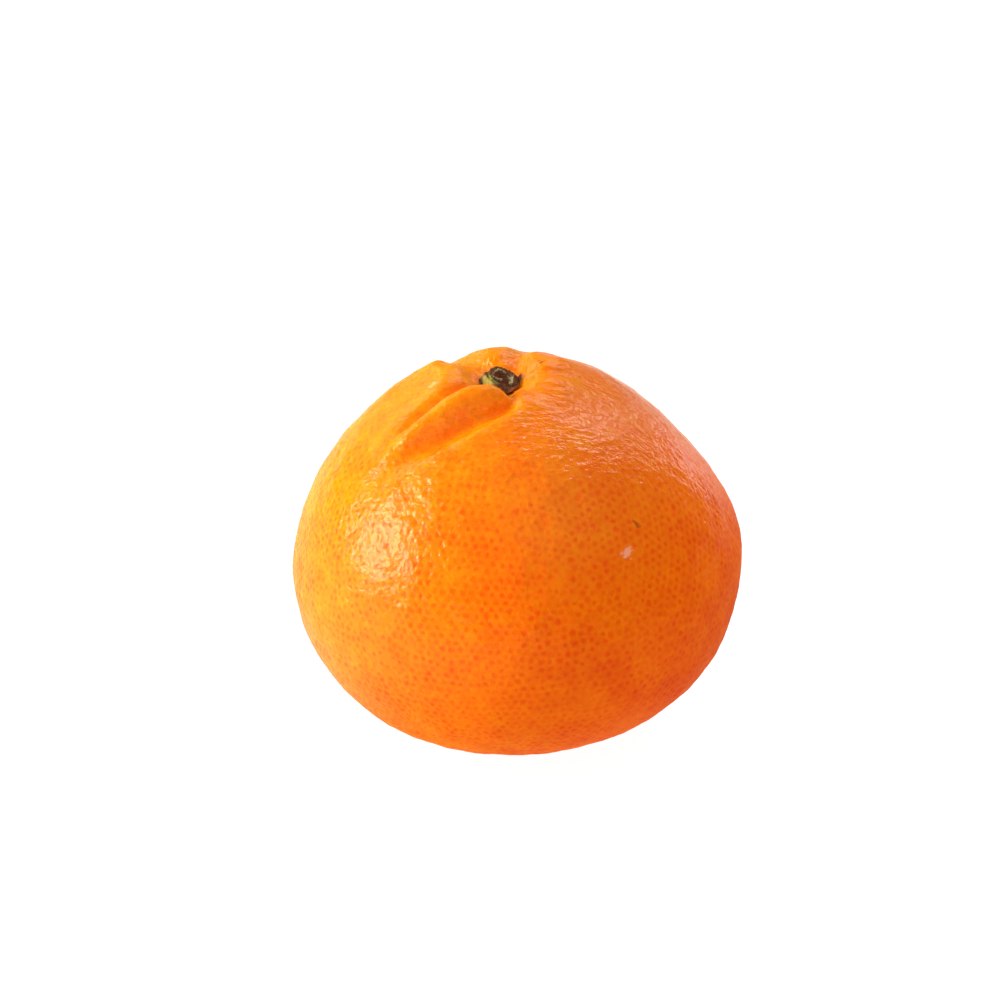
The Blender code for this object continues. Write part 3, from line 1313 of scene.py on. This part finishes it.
def grid_mesh(name: str, rows: np.ndarray, closed: bool) -> bpy.types.Mesh:
    """A mesh over rows of points that go round counter-clockwise, from the top down the outside.

    Args:
        name: The mesh's name.
        rows: An array of rows by columns by 3.
        closed: Whether the last row joins the first. Otherwise each end row closes to its middle.

    Returns:
        The mesh.
    """
    count, sides, _ = rows.shape
    points = [tuple(point) for point in rows.reshape(-1, 3)]
    faces = []
    for i in range(count if closed else count - 1):
        upper, lower = i * sides, ((i + 1) % count) * sides
        for j in range(sides):
            k = (j + 1) % sides
            faces.append((upper + j, lower + j, lower + k, upper + k))
    if not closed:
        first, last = len(points), len(points) + 1
        points += [tuple(rows[0].mean(axis=0)), tuple(rows[-1].mean(axis=0))]
        end = (count - 1) * sides
        for j in range(sides):
            k = (j + 1) % sides
            faces.append((first, j, k))
            faces.append((last, end + k, end + j))
    mesh = bpy.data.meshes.new(name)
    mesh.from_pydata(points, [], faces)
    mesh.shade_smooth()
    return mesh


def placed_piece(
    name: str, rows: np.ndarray, closed: bool, masks: dict[str, np.ndarray], placement: Placement
) -> bpy.types.Object:
    """A piece over rows of points of the fruit's own frame, with a mask for its material at each point.

    Args:
        name: The piece's name.
        rows: An array of rows by columns by 3.
        closed: Whether the last row joins the first.
        masks: Arrays of rows by columns by attribute name.
        placement: Where the fruit's own frame lies.

    Returns:
        The linked piece.
    """
    mesh = grid_mesh(name, placement.place(rows.reshape(-1, 3)).reshape(rows.shape), closed)
    for mask, values in masks.items():
        flat = np.zeros(len(mesh.vertices), np.float32)
        flat[: values.size] = np.clip(values, 0.0, 1.0).ravel()
        if not closed:
            flat[values.size] = flat[: values.shape[1]].mean()
        mesh.attributes.new(mask, "FLOAT", "POINT").data.foreach_set("value", flat)
    return new_piece(name, mesh)


def full_turn(sides: int) -> np.ndarray:
    """Azimuths all the way round the stem, in one row."""
    return np.linspace(0.0, 2.0 * math.pi, sides, endpoint=False)[None, :]


@dataclass
class StemStub:
    """The torn stub of the stem: an oval rim broken off at a slant, with two holes in a web of fibres.

    The lip, which is the rim's inner edge, and what lies by it are in shares of the way out from the middle.
    """

    form: FruitForm
    placement: Placement
    finish: StubFinish
    end: StemEnd
    height: float = 0.0020
    slant: float = 0.42
    cup_depth: float = 0.0006
    lip: float = 0.66
    lip_swing: float = 0.16
    lip_inside: float = 0.20
    lip_outside: float = 0.10
    broad: Roughness = Roughness(1300.0, 4.0)
    ragged: Roughness = Roughness(3800.0, 9.0)
    tear: float = 0.00026
    fray: float = 0.00014
    crumples: Roughness = Roughness(2600.0, 11.0)
    crumple: float = 0.00016
    edge: Ramp = Ramp(0.88, 1.0)
    edge_drop: float = 0.00025
    web: Web = Web()
    holes: tuple[Hole, ...] = HOLES
    hollow_spread: float = 1.12

    inner_pale: float = 1.15
    inner_band: Band = Band(-0.15, 0.17)
    inner_side: Side = Side(-8.0, 60.0)
    lip_pale: float = 0.85
    lip_band: Band = Band(0.02, 0.05)
    lip_side: Side = Side(130.0, 60.0)
    web_pale: float = 1.3
    hole_dark: float = 0.8
    green_rise: Ramp = Ramp(0.02, 0.16)
    green_side: Side = Side(212.0, 42.0)

    grooves: Ribs = Ribs(17.0, 0.00004, 2.0)
    flank_rough: float = 0.00008
    belly: float = 0.03
    foot_taper: float = 0.10
    foot_rings: tuple[float, ...] = (0.6, 0.3)
    sides: int = 200
    cup_rows: int = 56
    wall_rows: int = 26

    def build(self) -> bpy.types.Object:
        """Builds and dresses the stub.

        Returns:
            The finished piece.
        """
        azimuth = full_turn(self.sides)
        ragged = self.ragged.around(azimuth)
        top, masks = self.torn_top(azimuth, ragged)
        side, side_masks = self.flank(azimuth, top[-1, :, 2], ragged)
        rows = np.concatenate([top, side])
        for name, values in side_masks.items():
            masks[name] = np.concatenate([masks[name], values])
        rows[:, :, 0] += self.end.middle[0]
        rows[:, :, 1] += self.end.middle[1]
        piece = placed_piece("stem_tissue", rows, False, masks, self.placement)
        piece.data.materials.append(self.finish.dress())
        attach(piece, "root")
        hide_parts(Node.STUB.value)
        return piece

    def torn_top(self, azimuth: np.ndarray, ragged: np.ndarray) -> tuple[np.ndarray, dict[str, np.ndarray]]:
        """The broken top, from its middle out to the rim.

        Args:
            azimuth: The columns' azimuths.
            ragged: Quick noise round the rim.

        Returns:
            The points from the stub's middle, as rows by columns by 3, and the masks for the finish.
        """
        share = (np.arange(self.cup_rows) + 1.0)[:, None] / self.cup_rows
        reach = share * self.end.radius(azimuth)
        x, y = reach * np.cos(azimuth), reach * np.sin(azimuth)
        broad = self.broad.around(azimuth)
        lip = self.lip + self.lip_swing * broad
        wall = smooth_step(lip - self.lip_inside, lip + self.lip_outside, share)
        web = self.web.share(x, y)
        level = self.form.seat(*np.array(self.end.middle)[:, None])[0] + self.height
        level = level - self.cup_depth * (1.0 - wall)
        level = level - self.slant * reach * np.cos(azimuth - self.end.low_side)
        level = level + wall * (self.tear * broad + self.fray * ragged)
        level = level + self.crumple * self.crumples.at(x, y)
        level = level - sum(hole.depth * hole.share(x, y) for hole in self.holes) + self.web.height * web
        level = level - self.edge_drop * self.edge.at(share)
        beyond = share - lip
        inner = self.inner_pale * self.inner_band.share(beyond) * self.inner_side.share(azimuth)
        thin_lip = self.lip_pale * self.lip_band.share(beyond) * self.lip_side.share(azimuth)
        dark = self.hole_dark * sum(hole.share(x, y) for hole in self.holes)
        masks = {
            "pale": inner + thin_lip + self.web_pale * web - dark,
            "deep": sum(hole.share(x, y, self.hollow_spread) for hole in self.holes),
            "fresh": self.green_rise.at(beyond) * self.green_side.share(azimuth),
        }
        return np.stack([x, y, level], axis=2), masks

    def flank(
        self, azimuth: np.ndarray, rim: np.ndarray, ragged: np.ndarray
    ) -> tuple[np.ndarray, dict[str, np.ndarray]]:
        """The outside, from the rim down to the foot and in under it.

        Args:
            azimuth: The columns' azimuths.
            rim: The rim's heights.
            ragged: Quick noise round the rim.

        Returns:
            The points from the stub's middle, as rows by columns by 3, and the masks for the finish.
        """
        share = (np.arange(self.wall_rows) + 1.0)[:, None] / self.wall_rows
        waist = np.sin(share * math.pi)
        grooves = self.grooves.rise(azimuth, ragged) + self.flank_rough * ragged
        outline = self.end.radius(azimuth)
        reach = outline * (1.0 + self.belly * waist) + grooves * waist
        reach = reach * (1.0 - self.foot_taper * share**3)
        reach = np.concatenate([reach, outline * np.array(self.foot_rings)[:, None]])
        drop = np.concatenate([share, np.ones((len(self.foot_rings), 1))])
        x, y = reach * np.cos(azimuth), reach * np.sin(azimuth)
        spots = (x + self.end.middle[0]).ravel(), (y + self.end.middle[1]).ravel()
        foot = self.form.seat(*spots).reshape(x.shape) + self.end.clearance
        level = rim + (foot - rim) * drop
        none = np.zeros_like(level)
        masks = {"pale": none, "deep": none, "fresh": self.green_side.share(azimuth) + none}
        return np.stack([x, y, level], axis=2), masks


@dataclass
class Calyx:
    """The collar round the stub: a green swelling on its left, dark and torn on its right, with dry sepals.

    Masks along the collar are in shares of the way from the stub out to the collar's edge, and those over the
    cosine of the azimuth go from -1 on its left to 1 on its right.
    """

    form: FruitForm
    placement: Placement
    finish: CalyxFinish
    end: StemEnd
    width: float = 0.0004
    height: float = 0.0011
    bias: float = 0.75
    collar_fit: float = 1.02
    slope: Ramp = Ramp(0.15, 1.0)
    edge_height: float = 0.20
    sepal_length: float = 0.0005
    sepal_count: int = 5
    sepal_turn: float = math.radians(20)
    sepal_point: int = 4
    tip_curl: float = 0.00045
    tip_point: int = 8
    tip_rise: Ramp = Ramp(0.5, 1.0)
    tip_side: Ramp = Ramp(-0.2, 0.7)
    ragged: Roughness = Roughness(3000.0, 21.0)
    edge_swing: float = 0.00010
    crumples: Roughness = Roughness(2400.0, 33.0)
    crumple: float = 0.00012
    ribs: Ribs = Ribs(26.0, 0.00003, 3.0)

    worn_tip: float = 0.9
    worn_tip_rise: Ramp = Ramp(0.55, 1.0)
    worn_between: float = 0.30
    worn_point: int = 3
    worn_left: float = 0.9
    worn_left_side: Side = Side(142.0, 40.0)
    torn_rise: Ramp = Ramp(-0.45, 0.45)
    torn_turn: float = math.radians(30)
    worn_lip: float = 0.5
    lip_rise: Ramp = Ramp(0.0, 0.15)
    green_side: Side = Side(215.0, 50.0)
    dry_tip: float = 0.85
    dry_rise: Ramp = Ramp(0.25, 0.75)
    sides: int = 240
    top_rows: int = 30
    under_rows: int = 8

    def build(self) -> bpy.types.Object:
        """Builds and dresses the calyx.

        Returns:
            The finished piece.
        """
        azimuth = full_turn(self.sides)
        out = np.linspace(0.0, 1.0, self.top_rows + 1)
        back = np.linspace(1.0, 0.0, self.under_rows + 1)[1:]
        share = np.concatenate([out, back])[:, None]
        above = np.concatenate([np.ones_like(out), np.zeros_like(back)])[:, None]
        swing = np.abs(np.cos(self.sepal_count * (azimuth - self.sepal_turn) / 2.0))
        rows = self.collar(azimuth, share, above, swing)
        piece = placed_piece("calyx_collar", rows, True, self.masks(azimuth, share, swing), self.placement)
        piece.data.materials.append(self.finish.dress())
        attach(piece, "root")
        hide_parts(Node.CALYX.value)
        return piece

    def collar(
        self, azimuth: np.ndarray, share: np.ndarray, above: np.ndarray, swing: np.ndarray
    ) -> np.ndarray:
        """The collar's points, over its top from the stub to the edge and back beneath it.

        Args:
            azimuth: The columns' azimuths.
            share: How far out each row lies.
            above: 1 in the rows of the top and 0 in those beneath.
            swing: 1 at the middle of each sepal and 0 between two.

        Returns:
            The points in the fruit's own frame, as rows by columns by 3.
        """
        ragged = self.ragged.around(azimuth)
        fullness = 1.0 - self.bias * np.cos(azimuth)
        width = self.width * fullness + self.sepal_length * swing**self.sepal_point + self.edge_swing * ragged
        reach = self.end.radius(azimuth) * self.collar_fit + self.end.clearance + width * share
        x = self.end.middle[0] + reach * np.cos(azimuth)
        y = self.end.middle[1] + reach * np.sin(azimuth)
        level = self.form.seat(x.ravel(), y.ravel()).reshape(x.shape) + self.end.clearance
        slope = 1.0 - (1.0 - self.edge_height) * self.slope.at(share)
        uneven = self.crumple * self.crumples.at(x, y) + self.ribs.rise(azimuth, ragged)
        curl = self.tip_curl * self.tip_side.at(np.cos(azimuth)) * swing**self.tip_point
        level = level + above * (self.height * fullness * slope + uneven) + curl * self.tip_rise.at(share)
        return np.stack([x, y, level], axis=2)

    def masks(self, azimuth: np.ndarray, share: np.ndarray, swing: np.ndarray) -> dict[str, np.ndarray]:
        """Where the collar is worn dark and where it is dry.

        Args:
            azimuth: The columns' azimuths.
            share: How far out each row lies.
            swing: 1 at the middle of each sepal and 0 between two.

        Returns:
            The masks for the finish, each an array of rows by columns.
        """
        point = self.worn_between + (1.0 - self.worn_between) * swing**self.worn_point
        worn = self.worn_tip * self.worn_tip_rise.at(share) * point
        worn = worn + self.worn_left * self.worn_left_side.share(azimuth)
        worn = worn + self.torn_rise.at(np.cos(azimuth + self.torn_turn))
        lip = self.worn_lip * (1.0 - self.lip_rise.at(share))
        right = self.tip_side.at(np.cos(azimuth))
        return {
            "worn": worn + lip * (1.0 - self.green_side.share(azimuth)),
            "dry": self.dry_tip * right * swing**self.sepal_point * self.dry_rise.at(share),
        }


# The studio


@dataclass(frozen=True)
class SoftLight:
    """A soft box that faces the fruit.

    Azimuth 0 is in front of the fruit and 90 on its right, and both angles are in degrees.
    """

    name: str
    azimuth: float
    elevation: float
    distance: float
    width: float
    height: float
    power: float
    colour: tuple[float, float, float] = (1.0, 1.0, 1.0)
    glossy: bool = True

    def build(self, target: Vector) -> bpy.types.Object:
        """Places the light.

        Args:
            target: The point that it faces.

        Returns:
            The light's object.
        """
        a, e = math.radians(self.azimuth), math.radians(self.elevation)
        out = Vector((math.sin(a) * math.cos(e), -math.cos(a) * math.cos(e), math.sin(e)))
        light = bpy.data.lights.new(self.name, "AREA")
        light.shape = "RECTANGLE"
        light.size, light.size_y = self.width, self.height
        light.energy = self.power
        light.color = self.colour
        lamp = bpy.data.objects.new(self.name, light)
        bpy.context.scene.collection.objects.link(lamp)
        lamp.visible_glossy = self.glossy
        lamp.location = target + out * self.distance
        lamp.rotation_mode = "QUATERNION"
        lamp.rotation_quaternion = (-out).to_track_quat("-Z", "Y")
        return lamp


@dataclass
class Studio:
    """The floor, the lights and the camera."""

    aim: tuple[float, float, float] = (0.0, 0.0, 0.0262)
    distance: float = 0.285
    elevation: float = 25.0
    focal_pixels: float = 2069.0
    frame_pixels: float = 1000.0
    aim_across: float = 503.4
    aim_down: float = 545.8
    sensor_width: float = 36.0
    nearest_view: float = 0.01
    floor_size: float = 6.0
    floor_colour: tuple[float, float, float] = (0.10, 0.10, 0.10)
    floor_glow: float = 0.97
    floor_roughness: float = 0.6
    floor_gap: float = 0.00005
    world_strength: float = 0.12
    lights: tuple[SoftLight, ...] = (
        SoftLight("key", -82.0, 18.0, 0.60, 0.31, 0.22, 5.0, colour=(1.0, 0.94, 0.62)),
        SoftLight("left", -140.0, 34.0, 0.60, 0.30, 0.26, 0.7),
        SoftLight("fill", 25.0, 54.0, 0.60, 0.50, 0.50, 1.85, glossy=False),
        SoftLight("streak", 154.0, 48.0, 0.60, 0.42, 0.16, 1.45),
        SoftLight("rim", 140.0, 12.0, 0.60, 0.10, 0.24, 0.3),
    )

    def build(self) -> None:
        """Builds the studio."""
        self.floor()
        target = Vector(self.aim)
        for light in self.lights:
            light.build(target)
        world = bpy.data.worlds.new("studio_air")
        bpy.context.scene.world = world
        world.use_nodes = True
        air = world.node_tree.nodes["Background"]
        air.inputs["Color"].default_value = (1.0, 1.0, 1.0, 1.0)
        air.inputs["Strength"].default_value = self.world_strength
        bpy.context.scene.view_settings.view_transform = "Standard"
        self.camera()

    def floor(self) -> None:
        """Lays the pale floor."""
        half = self.floor_size / 2.0
        mesh = bpy.data.meshes.new("floor")
        corners = [(-half, -half, 0.0), (half, -half, 0.0), (half, half, 0.0), (-half, half, 0.0)]
        mesh.from_pydata(corners, [], [(0, 1, 2, 3)])
        material = bpy.data.materials.new("floor_paint")
        material.use_nodes = True
        shader = material.node_tree.nodes["Principled BSDF"]
        shader.inputs["Base Color"].default_value = rgba(self.floor_colour)
        shader.inputs["Roughness"].default_value = self.floor_roughness
        shader.inputs["Emission Color"].default_value = rgba((1.0, 1.0, 1.0))
        shader.inputs["Emission Strength"].default_value = self.floor_glow
        mesh.materials.append(material)
        floor = new_piece("floor", mesh)
        floor.location.z = -self.floor_gap

    def camera(self) -> None:
        """Sets the camera, turned so that the aimed point falls where the photo has it."""
        e = math.radians(self.elevation)
        back = Vector((0.0, -math.cos(e), math.sin(e)))
        up = Vector((0.0, math.sin(e), math.cos(e)))
        right = Vector((1.0, 0.0, 0.0))
        aim = Vector(self.aim)
        middle = self.frame_pixels / 2.0
        metres = self.distance / self.focal_pixels
        raised = (self.aim_down - middle) * metres
        aside = (self.aim_across - middle) * metres
        look_at = aim + up * raised - right * aside
        data = bpy.data.cameras.new("camera")
        data.sensor_width = self.sensor_width
        data.lens = data.sensor_width * self.focal_pixels / self.frame_pixels
        data.clip_start = self.nearest_view
        camera = bpy.data.objects.new("camera", data)
        bpy.context.scene.collection.objects.link(camera)
        camera.location = aim + back * self.distance
        camera.rotation_mode = "QUATERNION"
        camera.rotation_quaternion = (look_at - camera.location).to_track_quat("-Z", "Y")
        bpy.context.scene.camera = camera


def main() -> None:
    """Builds the scene in order and reports each piece."""
    logging.basicConfig(level=logging.INFO, format="%(name)s: %(message)s")
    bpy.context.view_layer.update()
    form = FruitForm()
    placement = Placement.over_cad(form)
    end = StemEnd()
    pieces = (
        Fruit(form, placement, PeelFinish()).build(),
        Calyx(form, placement, CalyxFinish(), end).build(),
        StemStub(form, placement, StubFinish(), end).build(),
    )
    for piece in pieces:
        piece.data.calc_loop_triangles()
        LOG.info("%s: %d triangles", piece.name, len(piece.data.loop_triangles))
    Studio().build()


if __name__ == "__main__":
    main()
